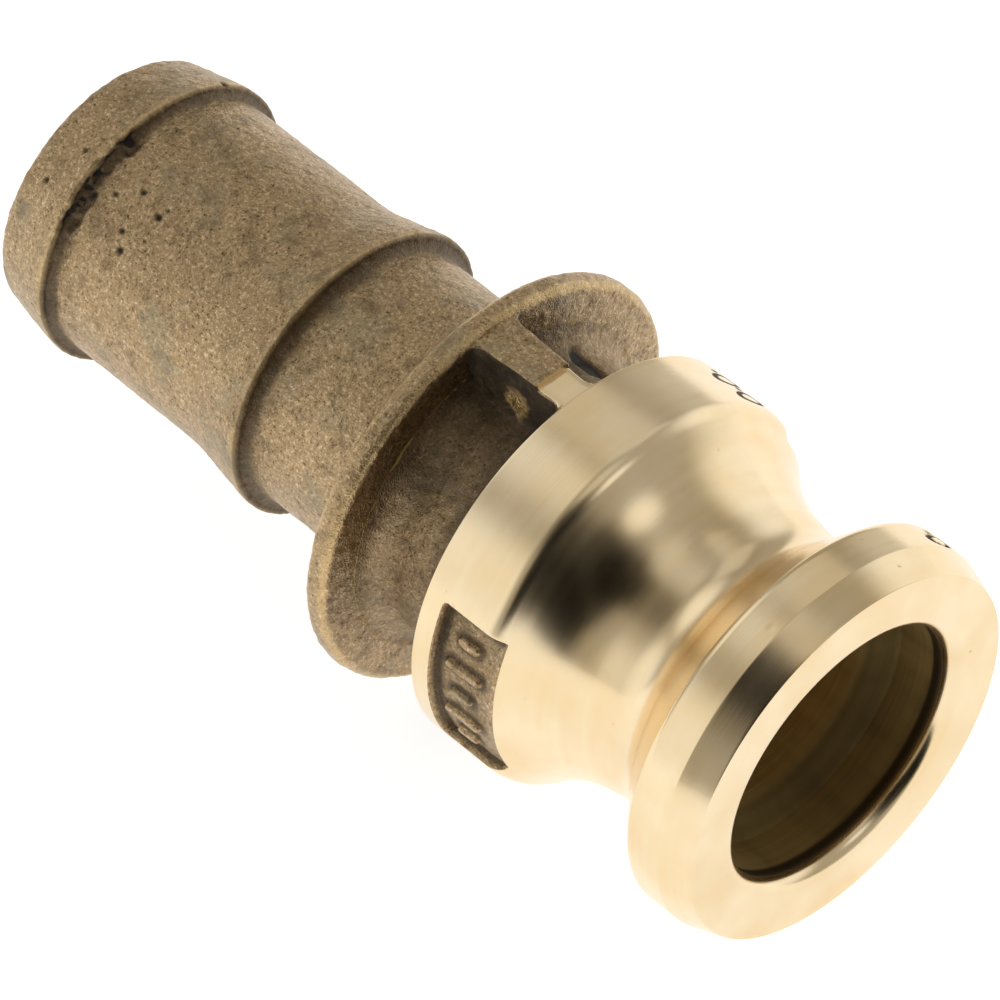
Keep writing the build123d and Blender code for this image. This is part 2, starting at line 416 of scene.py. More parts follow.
class Signal:
    """A shader socket that can stand in a Python expression with numbers and other signals."""

    def __init__(self, tree, socket=None):
        self.tree, self.socket = tree, socket

    def node(self, kind, settings=None, inputs=None, output=0):
        """Adds a node of any kind: its settings first, then the values or links of its sockets."""
        made = self.tree.nodes.new(kind)
        for name, value in (settings or {}).items():
            setattr(made, name, value)
        for name, value in (inputs or {}).items():
            if isinstance(value, Signal):
                self.tree.links.new(value.socket, made.inputs[name])
            else:
                made.inputs[name].default_value = value
        return Signal(self.tree, made.outputs[output] if made.outputs else None)

    def math(self, operation, *values, clamp=False):
        """A Math node."""
        settings = {"operation": operation, "use_clamp": clamp}
        return self.node("ShaderNodeMath", settings, dict(enumerate(values)))

    def __add__(self, other):
        return self.math("ADD", self, other)

    def __sub__(self, other):
        return self.math("SUBTRACT", self, other)

    def __rsub__(self, other):
        return self.math("SUBTRACT", other, self)

    def __mul__(self, other):
        return self.math("MULTIPLY", self, other)

    __radd__, __rmul__ = __add__, __mul__

    def limited(self):
        """Kept between 0 and 1."""
        return self.math("ADD", self, 0.0, clamp=True)

    def between(self, low, high):
        """0 below low, 1 above high, smooth between."""
        inputs = {"Value": self, "From Min": low, "From Max": high}
        return self.node("ShaderNodeMapRange", {"interpolation_type": "SMOOTHSTEP"}, inputs)

    def shade(self, low, high):
        """Mixes two colours by this signal."""
        colours = [c if isinstance(c, Signal) else (*c, 1.0) for c in (low, high)]
        return self.node(
            "ShaderNodeMix", {"data_type": "RGBA"}, {0: self, 6: colours[0], 7: colours[1]}, output=2
        )


def begin_finish(name):
    """A new material: its start signal, Object coordinates and shader."""
    finish = bpy.data.materials.new(name)
    finish.use_nodes = True
    tree = finish.node_tree
    tree.nodes.clear()
    start = Signal(tree)
    place = start.node("ShaderNodeTexCoord", output="Object")
    return finish, start, place


def end_finish(start, sockets):
    """Joins the shader to the output."""
    shader = start.node("ShaderNodeBsdfPrincipled", inputs=sockets)
    start.node("ShaderNodeOutputMaterial", inputs={"Surface": shader})


def marked(start, name):
    """The mark of this name that a mesh carries at its points."""
    return start.node("ShaderNodeAttribute", {"attribute_name": name}, output="Fac")


def speckle(start, place, scale, detail=2.0, rough=0.5):
    """Noise with this many cells a metre, alike or different along the three axes."""
    scale = scale if isinstance(scale, tuple) else (scale, scale, scale)
    cells = start.node("ShaderNodeMapping", inputs={"Vector": place, "Scale": scale})
    return start.node("ShaderNodeTexNoise", {"noise_dimensions": "3D"}, {
        "Vector": cells, "Scale": 1.0, "Detail": detail, "Roughness": rough,
    })


def turned_finish(settings, name="machined"):
    """Machined brass: fine tool rings along the axis, soft cloudy bands, small specks, and darkening that is
    painted shade inside the mouth and in the stamped marks and pits, with dirt in the marks."""
    finish, start, place = begin_finish(name)
    grime_and_shade = marked(start, "grime_and_shade")
    clouds = speckle(start, place, 120.0, 3.0)
    bands = speckle(start, place, (900.0, 60.0, 60.0), 2.0)
    rings = speckle(start, place, (5200.0, 90.0, 90.0), 3.0, 0.7)
    specks = speckle(start, place, 1900.0, 2.0).between(0.72, 0.80)
    tone = (clouds * 0.75 + bands * 0.25).between(0.3, 0.7)
    colour = tone.shade(settings.turned, settings.turned_pale)
    colour = (specks * 0.45).shade(colour, settings.skin)
    # Painted shade: darker inside the mouth and in the stamped marks and pits, together with dirt in them
    colour = grime_and_shade.between(0.1, 0.75).shade(colour, settings.skin_dark)
    rough = settings.turned_rough + (bands - 0.5) * 0.08 + (clouds - 0.5) * 0.12 + grime_and_shade * 0.5
    bump = start.node("ShaderNodeBump", inputs={"Height": rings, "Strength": 0.5, "Distance": 0.00001})
    end_finish(start, {"Base Color": colour, "Metallic": 1.0, "Roughness": rough.limited(), "Normal": bump})
    return finish


def cast_finish(settings, name="cast_skin"):
    """Sand-cast brass skin: grains with pale rubbed tops and dark hollows, slow stains, painted shade in the
    pockets, the sunken pads and the corners at the steps together with dirt in the pits, and bright bare
    metal where a tool has touched it."""
    finish, start, place = begin_finish(name)
    grime_and_shade = marked(start, "grime_and_shade")
    bare = marked(start, "bare")
    sand = speckle(start, place, 2300.0, 2.0, 0.6)
    fine = speckle(start, place, 5200.0, 2.0, 0.6)
    stain = speckle(start, place, 160.0, 3.0, 0.6)
    blotch = speckle(start, place, 430.0, 3.0, 0.6)
    height = sand * 0.5 + fine * 0.5
    colour = height.between(0.31, 0.47).shade(settings.skin_dark, settings.skin)
    colour = height.between(0.50, 0.68).shade(colour, settings.skin_pale)
    colour = (blotch.between(0.50, 0.68) * 0.35).shade(colour, settings.skin_dark)
    colour = (stain.between(0.52, 0.70) * 0.42).shade(colour, settings.patina)
    # Painted shade: darker in the pockets beside the webs, on the pad floors and back face and at the foot of
    # the steps, with dirt in pits and stains; darkest on the pocket walls
    colour = (grime_and_shade.between(0.15, 0.6) * 0.75).shade(colour, settings.skin_dark)
    colour = grime_and_shade.between(0.62, 0.95).shade(colour, settings.soot_and_shade)
    colour = bare.shade(colour, settings.bare)
    rough = settings.skin_rough + (fine - 0.5) * 0.3 + (grime_and_shade - bare) * 0.2
    metal = (1.0 - grime_and_shade * 0.7).limited()
    bump = start.node("ShaderNodeBump", inputs={"Height": height, "Strength": 1.0, "Distance": 0.00017})
    end_finish(start, {
        "Base Color": colour, "Metallic": metal, "Roughness": rough.limited(), "Normal": bump,
    })
    return finish


def bore_finish(settings, name="rough_bored"):
    """Rough-bored passage: dull brown brass with broad tool rings, and painted shade deeper in, darkest on
    the cone.
    """
    finish, start, place = begin_finish(name)
    grime_and_shade = marked(start, "grime_and_shade")
    rings = speckle(start, place, (2600.0, 60.0, 60.0), 3.0, 0.6)
    clouds = speckle(start, place, 150.0, 3.0)
    streaks = speckle(start, place, (25.0, 330.0, 330.0), 2.0)
    worn = (clouds * 0.3 + rings * 0.3 + streaks * 0.4).between(0.3, 0.7)
    colour = worn.shade(settings.bore, [0.6 * c for c in settings.bore])
    # Painted shade inside the passage
    colour = grime_and_shade.shade(colour, [0.12 * c for c in settings.bore])
    bump = start.node("ShaderNodeBump", inputs={"Height": rings, "Strength": 0.4, "Distance": 0.00002})
    end_finish(start, {
        "Base Color": colour, "Metallic": 0.6, "Roughness": (0.45 + clouds * 0.2 + grime_and_shade * 0.3).limited(),
        "Normal": bump, "Specular IOR Level": 0.1,
    })
    return finish


def table_finish(colour, light):
    """A plain white light table."""
    finish, start, place = begin_finish("light_table")
    cloud = speckle(start, place, 3.0, 1.0)
    end_finish(start, {
        "Base Color": cloud.shade(colour, [0.99 * c for c in colour]), "Roughness": 0.85,
        "Emission Color": (1.0, 1.0, 1.0, 1.0), "Emission Strength": light,
    })
    return finish


def finish_named(name):
    """A finish of the coupling, made the first time it is asked for."""
    makers = {"machined": turned_finish, "cast_skin": cast_finish, "rough_bored": bore_finish}
    if name in bpy.data.materials:
        return bpy.data.materials[name]
    return makers[name](bpy.context.scene.coupling_finish, name)


def sizes():
    """Every length and angle of the coupling, in millimetres or degrees, by group."""
    scene = bpy.context.scene
    groups = []
    for group in (scene.coupling_passage, scene.coupling_head, scene.coupling_neck, scene.coupling_shank):
        values = {}
        for key, setting in group.bl_rna.properties.items():
            if setting.type == "FLOAT" and not setting.is_array:
                values[key] = getattr(group, key) * (180 / np.pi if setting.unit == "ROTATION" else MM)
        groups.append(SimpleNamespace(**values))
    return groups


HEAD_LINES = lines(
    (-180, -118, 1.0), (-118, -62, 0.3), (-62, 34, 1.0), (34, 118, 0.3), (118, 180, 1.0)
)
CAST_LINES = lines((-180, 180, 0.75))

STAMP_ANGLE = 49  # where the plain marks are stamped, in degrees about the axis
STAMP_WIDTHS = {"oval": 0.17, "dot": 0.22}  # half of the width of a stamped line
DARK_DEPTH = 0.16  # depth at which a stamped mark or pit is painted fully dark, as shade and dirt in it
LIP_SHADE, CONE_SHADE, MOUTH_SHADE = 0.7, 0.77, 0.45  # how much painted shade darkens the passage at three places
BORED_FROM = 2.9  # where the turned lip of the mouth gives way to the rough-bored passage
MARK_SHARES = (0.4, 0.65, 0.4, 0.65, 0.4)  # length of each raised bar as a share of the pad

# Marks of one casting: the middle (x, y, z) and the half sizes of each. The hollow is a shallow dent painted
# dark as shade.
HOLLOW_MIDDLE, HOLLOW_HALVES, HOLLOW_DEPTH = (-46.3, 9.6, 13.6), (2.9, 1.7, 1.9), 0.5
BARE_MIDDLE, BARE_HALVES = (-44.3, -2.4, 18.6), (1.8, 1.8, 1.9)
PATCH_MIDDLE, PATCH_HALVES = (-65.9, -1.85, 15.1), (1.9, 1.2, 1.2)

TEAR_SPAN = (-60, -48, -18, -6)  # degrees at which the torn spot starts, is full, fades and ends
TEAR_DEPTH = 0.4
PIT_COUNT, PIT_SHARE = 60, 0.7
SLOPE_OUTLINE = [70, 71, 78, 99.7, 100.5, 107], [15.2, 17, 15.5, 15.5, 16.8, 15.3]


def stamped(outline, radius, marks, depth):
    """Depth of the plain stamped marks over the turned head: full inside a mark, with sloping sides. A mark
    is its kind, its place behind the sealing face and its size."""
    behind = outline[:, :1] + 0 * HEAD_LINES[None]
    along = np.radians(HEAD_LINES)[None] * radius + 0 * behind
    around = np.radians(STAMP_ANGLE) * radius
    inside = np.full(behind.shape, 9.0)
    for kind, place, size in marks:
        if kind == "oval":
            band = oval(along, behind, (around, place), size, STAMP_WIDTHS[kind])
        else:
            ends = (around - size, place), (around + size, place)
            band = capsule(along, behind, *ends, STAMP_WIDTHS[kind])
        inside = np.minimum(inside, band)
    return depth * (1 - smooth(-0.06, 0.14, inside))


def rows_from(total, first):
    """Finish numbers of a piece: 0 up to a row, 1 from it on."""
    return (np.arange(total) >= first)[:, None] * 1


def patch_distance(points, middle, halves):
    """Distance from the middle of an egg-shaped patch, which is 1 at its rim."""
    return np.linalg.norm((points - np.array(middle)) / halves, axis=-1)


class COUPLING_OT_turn_nose(bpy.types.Operator):
    """Turn the sealing nose: flat face, lead taper, parallel land and rounded mouth"""

    bl_idname = "coupling.turn_nose"
    bl_label = "Turn sealing nose"

    def execute(self, context):
        passage, head, _, _ = sizes()
        outline = rounded([
            (head.nose_back, passage.mouth), (0, passage.mouth, passage.mouth_round),
            (0, head.face, 0.16), (head.taper, head.nose, 0.5), (head.nose_back, head.nose),
        ])
        points, normals = turned_part(outline, HEAD_LINES)
        marks = (("oval", 4.9, 0.85), ("dot", 6.5, 0.25))
        dents = stamped(outline, head.nose, marks, head.stamp_depth)
        on_land = (outline[:, 1] > head.nose - 0.5)[:, None]
        dents = dents * on_land + bowl(points, [
            (4.5, -17.5, head.nose, 0.28), (2.1, 22.0, 22.2, 0.22), (0, 83.2, 17.4, 0.2),
            (0, -14.9, 21.3, 0.18),
        ])
        points = points - normals * dents[..., None]
        mouth = nearest(outline, passage.mouth_round, passage.mouth)
        bored = int((outline[:mouth, 0] > BORED_FROM).sum())
        behind = outline[:, :1]
        # Painted shade inside the mouth: none near the face, growing deeper in, and less where the
        # rough-bored passage begins
        shade = LIP_SHADE * smooth(0.35, 2.3, behind) * (np.arange(len(outline)) <= mouth)[:, None]
        shade *= 1 - (1 - MOUTH_SHADE / LIP_SHADE) * smooth(2.4, 3.4, behind)
        add_piece(
            "sealing_nose_turned", [(points, facing(points))], [-1], ["machined", "rough_bored"],
            ["sealing_nose"], 1 - rows_from(len(outline), bored),
            np.clip(dents / DARK_DEPTH + shade, 0, 1),
        )
        return {"FINISHED"}


class COUPLING_OT_turn_groove(bpy.types.Operator):
    """Turn the cam groove, with the cone and the start of the bore inside it"""

    bl_idname = "coupling.turn_groove"
    bl_label = "Turn cam groove"

    def execute(self, context):
        passage, head, _, _ = sizes()
        outline = rounded([
            (head.nose_back, head.nose), (head.groove_start, head.nose, 1.0),
            (head.front_foot, head.floor_front, head.front_blend),
            (head.rear_foot, head.floor_rear, head.rear_blend), (head.shoulder, head.shoulder_radius),
        ], 0.35, 0.35)
        cone = passage.mouth - passage.bore
        inner = rounded([
            (head.shoulder, passage.bore), (head.nose_back + cone, passage.bore, 3.0),
            (head.nose_back, passage.mouth),
        ], 0.6)
        # Painted shade inside the passage: darkest on the middle of the cone, and a set amount in the mouth
        # in front of it
        past_middle = inner[:, :1] - head.nose_back - cone / 2
        shade = CONE_SHADE * (1 - smooth(0.8, 2.6, np.abs(past_middle)))
        shade = np.maximum(shade, MOUTH_SHADE * (past_middle < 0))
        add_piece(
            "cam_groove_turned", [turned_part(outline, HEAD_LINES), turned_part(inner, HEAD_LINES)],
            [len(outline) - 1, -1], ["machined", "rough_bored"], ["cam_groove"],
            rows_from(len(outline) + len(inner), len(outline) - 1),
            np.concatenate((0 * outline[:, :1], shade)),
        )
        return {"FINISHED"}


class COUPLING_OT_turn_barrel(bpy.types.Operator):
    """Turn the barrel, with its as-cast back face and the two sunken pads with their raised bars"""

    bl_idname = "coupling.turn_barrel"
    bl_label = "Turn barrel"

    def execute(self, context):
        passage, head, neck, _ = sizes()
        settings = context.scene.coupling_finish
        rim = rounded([
            (head.shoulder, head.shoulder_radius), (head.groove_end, head.barrel, 2.6),
            (head.barrel_back, head.barrel, 0.14), (head.barrel_back, neck.neck + neck.front_blend),
        ], 0.13)
        edge = nearest(rim, head.barrel_back, head.barrel)
        keep = np.ones(len(rim), bool)
        keep[edge + 4::2] = False
        keep[-1] = True
        rim = rim[keep]
        points = swept(rim, HEAD_LINES)
        behind = rim[:, :1] + 0 * HEAD_LINES[None]
        full = rim[:, 1:]

        # Pads: the distance to their outline, and the bars that fan over their floors
        signed = np.where(HEAD_LINES > 0, HEAD_LINES - 90, HEAD_LINES + 90)[None] + 0 * behind
        corner = head.pad_corner
        half = np.radians(head.pad_half_angle) * head.barrel
        past_side = np.radians(np.abs(signed)) * head.barrel - half + corner
        past_back = behind - head.pad_back + corner
        to_edge = np.hypot(np.maximum(past_side, 0), np.maximum(past_back, 0)) - corner
        to_edge += np.minimum(np.maximum(past_side, past_back), 0)
        sunk = (1 - smooth(-head.pad_wall, 0.02, to_edge)) * (behind < head.barrel_back - 0.3)
        fan = np.radians(signed) * head.pad_floor
        pad_front = head.groove_end - 0.8
        middle, length = (pad_front + head.pad_back) / 2, head.pad_back - pad_front
        bars = np.full(behind.shape, 9.0)
        for count, share in enumerate(MARK_SHARES, -(len(MARK_SHARES) // 2)):
            place = count * np.radians(head.mark_angle) * head.pad_floor
            reach = share * length / 2 - head.mark_width / 2
            ends = (place, middle - reach), (place, middle + reach)
            bars = np.minimum(bars, capsule(fan, behind, *ends, head.mark_width / 2))
        raised = 1 - smooth(-0.3, 0.12, bars)

        height = cast_relief(points, settings.seed, settings.relief * MM)
        height = height * smooth(head.shoulder + 0.4, head.groove_end - 0.3, behind)
        sunk_radius = full * (1 - sunk) + (head.pad_floor + head.mark_height * raised + height) * sunk
        radius = np.minimum(full, sunk_radius)
        around = np.radians(HEAD_LINES)[None]
        on_back = (behind > head.barrel_back - 0.001) & (radius < head.barrel - 0.6)
        x = -behind - np.where(on_back, height, 0)
        points = np.stack((x, radius * np.sin(around), radius * np.cos(around)), -1)

        # Painted shade: darker on the pad floors the deeper they lie, beside the bars and near the walls,
        # lighter on the bar tops, and darker on the as-cast back face, most beside the webs; stamped marks
        # and the pit are darkened too
        depth = full - radius
        near_wall = sunk * (1 - smooth(0.2, 1.3, -to_edge)) * smooth(0.05, 0.5, depth)
        beside_bar = (1 - smooth(0.05, 0.9, bars)) * smooth(-0.2, 0.1, bars)
        grime_and_shade = smooth(0.15, 1.0, depth) * (0.3 + 0.35 * beside_bar - 0.45 * raised) + near_wall * 0.5
        on_face = (behind > head.barrel_back - 0.01) & (full < head.barrel - 0.2)
        beside_web = np.exp(-np.abs(np.sin(around) * full) / 9)
        grime_and_shade = np.where(on_face, 0.45 + 0.25 * beside_web, grime_and_shade)
        marks = (("oval", 30.9, 0.95), ("dot", 32.6, 0.3), ("oval", 34.3, 0.95), ("dot", 36.0, 0.3))
        dents = stamped(rim, head.barrel, marks, head.stamp_depth) * ~on_face
        dents = dents + bowl(points, [(35.4, 27.6, head.barrel, 0.26)])
        grime_and_shade = np.clip(grime_and_shade + dents / DARK_DEPTH, 0, 0.8)
        inner = bore_rows(head.shoulder, head.barrel_back, passage.bore)
        blank = np.zeros((len(inner), len(HEAD_LINES)))
        pad = sunk_radius < full - 0.1
        choice = np.concatenate(((pad | np.roll(pad, -1, 1)) * 1, blank + 2))
        choice[edge + 2: len(rim) - 1] = 1
        choice[len(rim) - 1] = 2
        add_piece(
            "barrel_turned", [(points, facing(points)), turned_part(inner, HEAD_LINES)], [len(rim) - 1, -1],
            ["machined", "cast_skin", "rough_bored"], ["barrel", "left_pad_marks", "right_pad_marks"],
            choice, np.concatenate((grime_and_shade, blank)),
        )
        return {"FINISHED"}


class COUPLING_OT_cast_neck(bpy.types.Operator):
    """Cast the neck with its two webs"""

    bl_idname = "coupling.cast_neck"
    bl_label = "Cast neck and webs"

    def execute(self, context):
        passage, head, neck, _ = sizes()
        settings = context.scene.coupling_finish
        step = head.barrel_back + neck.web_step
        outline = rounded([
            (head.barrel_back, neck.neck + neck.front_blend), (head.barrel_back, neck.neck, neck.front_blend),
            (neck.collar_front, neck.neck, neck.rear_blend),
            (neck.collar_front, neck.neck + neck.rear_blend),
        ], 0.2)
        near_step = step + np.array([-0.12, -0.04, 0.04, 0.1, 0.2])
        extra = np.stack((near_step, np.full(len(near_step), neck.neck)), 1)
        flat = np.abs(outline[:, 1] - neck.neck) < 1e-6
        flat &= np.abs(outline[:, 0] - step) < 0.25
        outline = np.concatenate((
            outline[~flat & (outline[:, 0] < step)], extra, outline[~flat & (outline[:, 0] > step)],
        ))
        behind, low = outline[:, :1], outline[:, 1:]

        # Section across the axis: half of the neck's circle, then foot, wall, edge and top of a web
        along = (behind - head.barrel_back) / (neck.collar_front - head.barrel_back)
        half = (neck.web_front * (1 - along) + neck.web_rear * along) / 2
        for gap in (behind - head.barrel_back, neck.collar_front - behind):
            near = np.clip(1 - gap / neck.web_flare, 0, 1)
            half = half + neck.web_flare * (1 - np.sqrt(1 - near**2)) * 0.8
        top = np.where(behind < step, head.barrel - 0.02, neck.web_top)
        foot, edge = neck.web_foot, neck.web_edge
        ground = np.sqrt(np.maximum((low + foot) ** 2 - (half + foot) ** 2, 0.01))
        wall_top = np.sqrt(top**2 - half**2) - edge
        start_angle = np.arctan2(half + foot, ground)
        counts = {"neck": 150, "foot": 9, "wall": 26, "edge": 5, "top": 10}
        t = {key: (np.arange(value) / value)[None] for key, value in counts.items()}
        turn = np.pi - start_angle - t["neck"] * (np.pi - 2 * start_angle)
        arc = np.stack((low * np.sin(turn), low * np.cos(turn)), -1)
        out_angle = start_angle + t["foot"] * (np.pi / 2 - start_angle)
        fillet = np.stack((half + foot - foot * np.sin(out_angle), ground - foot * np.cos(out_angle)), -1)
        rise = ground + t["wall"] * (wall_top - ground)
        wall = np.stack((half + 0 * rise, rise), -1)
        bend = t["edge"] * np.pi / 2
        corner = np.stack((half - edge + edge * np.cos(bend), wall_top + edge * np.sin(bend)), -1)
        sweep = (1 - 2 * t["top"]) * (half - edge)
        crown = np.stack((sweep, np.sqrt(top**2 - half**2 + (half**2 - sweep**2))), -1)
        crown[..., 1] -= (crown[..., 1] - wall_top - edge) * (np.abs(sweep) > half - edge - 0.01)
        mirrored = np.concatenate((fillet, wall, corner), 1)[:, ::-1] * (-1, 1)
        upper = np.concatenate((arc, fillet, wall, corner, crown, mirrored), 1)
        both = np.concatenate((upper, -upper), 1)[:, ::-1]
        points = np.concatenate((-behind[..., None] + 0 * both[..., :1], both), -1)
        normals = facing(points)

        # Cast skin, which stops at the turned front of each web's top
        height = cast_relief(points, settings.seed, settings.relief * MM)
        spread = np.hypot(points[..., 1], points[..., 2])
        beside = (behind < head.barrel_back + 1.2) & (np.abs(points[..., 1]) > neck.web_front / 2 + 0.3)
        turned = (behind < step + 0.02) & (spread > head.barrel - 0.12) & ~beside
        height = np.where(turned, 0, height)
        points = points + normals * height[..., None]
        points[-1, :, 0] -= 0.15
        points[0, :, 0] += 0.15

        # Painted shade in the pockets beside the webs: darker near the neck, beside a web and near the
        # barrel, darker still on the web walls and darkest in the shallow hollow; the cast bumps are a little
        # lighter
        deep = 1 - smooth(low + 0.8, low + 5.5, spread)
        beside_web = np.exp(-np.clip(np.abs(points[..., 1]) - half, 0, 20) / 6.0)
        near_barrel = 1 - smooth(0.5, 6.0, behind - head.barrel_back)
        grime_and_shade = deep * (0.25 + 0.45 * beside_web + 0.4 * near_barrel)
        on_wall = (np.abs(points[..., 1]) < half + 0.8) & (spread < top - 0.25) & (spread > low + 0.3)
        grime_and_shade = np.clip(np.maximum(grime_and_shade, on_wall * 0.78) - height, 0, 0.84) * ~turned
        hollow = 1 - smooth(0.6, 1.1, patch_distance(points, HOLLOW_MIDDLE, HOLLOW_HALVES))
        points = points - normals * HOLLOW_DEPTH * hollow[..., None]
        grime_and_shade = np.maximum(grime_and_shade, hollow)
        flecks = 0.3 * grain(points, 0.5, settings.seed + 5)
        bare = 0.9 * (1 - smooth(0.45, 1.0, patch_distance(points, BARE_MIDDLE, BARE_HALVES) + flecks))
        grime_and_shade *= 1 - bare
        around = np.degrees(np.arctan2(both[0, :, 0], both[0, :, 1]))
        inner = bore_rows(head.barrel_back, neck.collar_front, passage.bore)
        blank = np.zeros((len(inner), both.shape[1]))
        choice = np.concatenate((turned * 1, blank + 2))
        choice[len(outline) - 1] = 2
        add_piece(
            "neck_cast", [(points, facing(points)), turned_part(inner, around)], [len(outline) - 1, -1],
            ["cast_skin", "machined", "rough_bored"], ["neck", "top_web", "bottom_web"], choice,
            np.concatenate((grime_and_shade, blank)), np.concatenate((bare, blank)),
        )
        return {"FINISHED"}


class COUPLING_OT_cast_shank(bpy.types.Operator):
    """Cast the collar and the barbed hose shank behind it"""

    bl_idname = "coupling.cast_shank"
    bl_label = "Cast collar and shank"

    def execute(self, context):
        passage, _, neck, shank = sizes()
        settings = context.scene.coupling_finish
        front_step = shank.neck_back + shank.step
        rear_step = shank.rear_start + shank.step
        outline = rounded([
            (neck.collar_front, neck.neck + neck.rear_blend),
            (neck.collar_front, neck.collar, neck.collar_edge),
            (neck.collar_back, neck.collar, neck.collar_edge),
            (neck.collar_back, shank.neck, shank.neck_blend),
            (front_step, shank.neck, 1.3), (front_step, shank.front_crest, 0.4),
            (front_step + shank.land, shank.front_crest, 0.6),
            (front_step + shank.land + shank.front_ramp, shank.shank, 20.0),
            (rear_step, shank.shank, 0.8), (rear_step, shank.rear_crest, 0.4),
            (rear_step + shank.land, shank.rear_crest, 0.6), (shank.end, shank.end_radius, 1.0),
            (shank.end, passage.bore, 0.4), (shank.rear_start, passage.bore),
        ], 0.22, 0.16)
        points = swept(outline, CAST_LINES)
        normals = facing(points)
        behind = outline[:, :1] + 0 * CAST_LINES[None]
        angles = CAST_LINES[None] + 0 * behind
        outer = outline[:, 1:] + 0 * angles
        on_outside = np.arange(len(outline))[:, None] < nearest(outline, shank.end, passage.bore + 0.4)
        height = cast_relief(points, settings.seed, settings.relief * MM)

        # Pits: the larger ones listed one by one, then small ones strewn over the whole shank
        spots = [
            (94.4, -26.1, shank.shank, 0.85), (90.7, -26.0, shank.shank, 0.5),
            (91.1, -30.1, shank.shank, 0.95), (93.8, -42.7, shank.shank, 0.8),
            (90.8, -40.5, shank.shank, 0.55), (92.8, -49.2, shank.shank, 0.9),
            (87.5, -27.2, shank.shank, 0.45), (104.6, -44.7, 16.0, 0.8), (102.0, -51.3, 16.5, 0.5),
            (100.3, 35.4, shank.rear_crest, 0.9), (102.5, -27.3, 16.4, 0.75), (101.6, -20.0, 16.6, 0.55),
            (95.6, -17.0, shank.shank, 0.5), (96.9, -33.0, shank.shank, 0.7),
        ]
        rng = np.random.default_rng(settings.seed)
        where = rng.uniform(neck.collar_back + 2, shank.end - 1, PIT_COUNT)
        turn = rng.uniform(-180, 180, PIT_COUNT)
        size = 0.22 + 0.33 * rng.random(PIT_COUNT) ** 2
        spots += zip(where, turn, np.interp(where, *SLOPE_OUTLINE), size)
        pits = bowl(points, [(*spot[:3], PIT_SHARE * spot[3]) for spot in spots]) * on_outside

        # Torn spot: a ragged band along the foot of the rear barb's step
        rough = 0.5 + 0.5 * grain(points, 0.9, settings.seed + 20)
        coarse = 0.5 + 0.5 * grain(points, 2.6, settings.seed + 21)
        crumbs = 0.5 + 0.5 * grain(points, 0.45, settings.seed + 22)
        across = smooth(*TEAR_SPAN[:2], angles) * (1 - smooth(*TEAR_SPAN[2:], angles))
        along = smooth(rear_step - 1.3, rear_step - 0.5, behind + 0.8 * (coarse - 0.5))
        along *= 1 - smooth(rear_step + 0.05, rear_step + 0.9, behind + 0.9 * (rough - 0.5))
        torn = across * along * smooth(0.36, 0.66, 0.4 * rough + 0.4 * coarse + 0.2 * crumbs) * on_outside
        height = height - pits - TEAR_DEPTH * torn
        height = np.where(on_outside, height, height * 0.4)
        points = points + normals * height[..., None]

        # Painted shade at the foot of each step and on its rise; darker too in the pits, the torn spot, slow
        # stains and one patch
        foot = np.zeros(behind.shape)
        for step, reach, radius_here in (
            (front_step, 2.3, shank.neck + 0.5), (rear_step, 1.6, shank.shank + 0.3),
            (neck.collar_back, 1.8, shank.neck),
        ):
            gap = np.hypot(behind - step, outer - radius_here)
            foot = np.maximum(foot, 1 - smooth(0.2, reach, gap))
        rise = sum((behind > step - 0.01) & (behind < step + 0.25) for step in (front_step, rear_step))
        stain = grain(points, 5.0, settings.seed + 30) * 0.5 + grain(points, 11.0, settings.seed + 31) * 0.5
        grime_and_shade = 0.58 * foot + 0.2 * rise + 3.6 * pits + 0.6 * torn * smooth(0.15, 0.75, crumbs)
        grime_and_shade += 0.22 * smooth(0.1, 0.8, stain)
        patch = patch_distance(points, PATCH_MIDDLE, PATCH_HALVES)
        grime_and_shade += 0.3 * (1 - smooth(0.5, 1.1, patch + 0.3 * (coarse - 0.5)))
        grime_and_shade = np.clip(grime_and_shade * on_outside, 0, 1)
        rub = np.zeros(behind.shape)
        for edge_behind, edge_radius in (
            (front_step + 0.3, shank.front_crest), (rear_step + 0.3, shank.rear_crest),
            (neck.collar_front + 0.3, neck.collar - 0.3), (neck.collar_back - 0.3, neck.collar - 0.3),
        ):
            gap = np.hypot(behind - edge_behind, outer - edge_radius)
            rub = np.maximum(rub, 1 - smooth(0.15, 0.8, gap + 0.5 * (rough - 0.5)))
        bare = 0.28 * rub * (1 - grime_and_shade) * on_outside

        # Cut across the axis into the five nodes, each closed by its own stretch of the bore
        skin = facing(points)
        first = 0
        for node, last in (
            ("collar", nearest(outline, neck.collar_back, shank.neck + shank.neck_blend)),
            ("shank_neck", nearest(outline, shank.neck_back, shank.neck)),
            ("front_barb", nearest(outline, shank.shank_start, shank.shank)),
            ("shank", nearest(outline, shank.rear_start, shank.shank)),
            ("rear_barb", len(outline) - 1),
        ):
            rows = slice(first, last + 1)
            parts, dirt, shine = [(points[rows], skin[rows])], [grime_and_shade[rows]], [bare[rows]]
            hidden, bored = [last - first, -1], last - first
            if node == "rear_barb":
                hidden, bored = [-1], nearest(outline[rows], shank.end - 0.4, passage.bore)
            else:
                inner = bore_rows(behind[first, 0], behind[last, 0], passage.bore)
                parts.append(turned_part(inner, CAST_LINES))
                dirt.append(0 * parts[1][0][..., 0])
                shine.append(dirt[1])
            add_piece(
                f"{node}_cast", parts, hidden, ["cast_skin", "rough_bored"], [node],
                rows_from(sum(len(part[0]) for part in parts), bored),
                np.concatenate(dirt), np.concatenate(shine),
            )
            first = last
        return {"FINISHED"}


